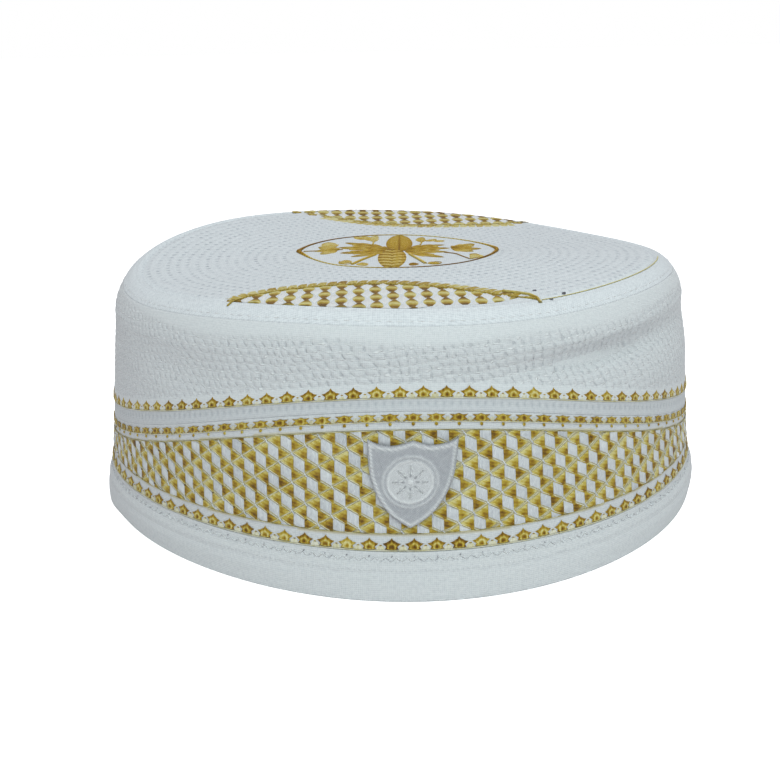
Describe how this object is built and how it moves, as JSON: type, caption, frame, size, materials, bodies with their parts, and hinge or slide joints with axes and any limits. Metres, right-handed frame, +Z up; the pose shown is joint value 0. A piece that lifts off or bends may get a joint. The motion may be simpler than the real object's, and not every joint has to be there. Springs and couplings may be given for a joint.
{
  "type": "prayer cap",
  "caption": "Flat-topped oval prayer cap of quilted white cloth, open below for the head, with an embroidered crescent cuff, a corded rib, a folded hem and a satin shield at the front.",
  "frame": {"origin": "centre of the overall box on the surface the hem rests on", "axes": "+Z up from the hem to the crown, -Y towards the front with the badge, +X to the right of someone looking at the badge"},
  "size_m": [0.1976, 0.1954, 0.0794],
  "materials": {
    "hem_cloth": "plain white cotton, matt",
    "cuff_cloth": "white cotton embroidered in old-gold thread",
    "rib_cloth": "white corded cotton with ladder stitches",
    "side_cloth": "white quilted cotton, matt",
    "crown_cloth": "white quilted cotton, matt",
    "badge_satin": "white satin with raised thread edge"
  },
  "bodies": {
    "root": {"hem_band": "hem_cloth", "cuff_panel": "cuff_cloth", "rib_tape": "rib_cloth", "side_panel": "side_cloth", "crown_panel": "crown_cloth", "badge": "badge_satin"}
  },
  "joints": []
}
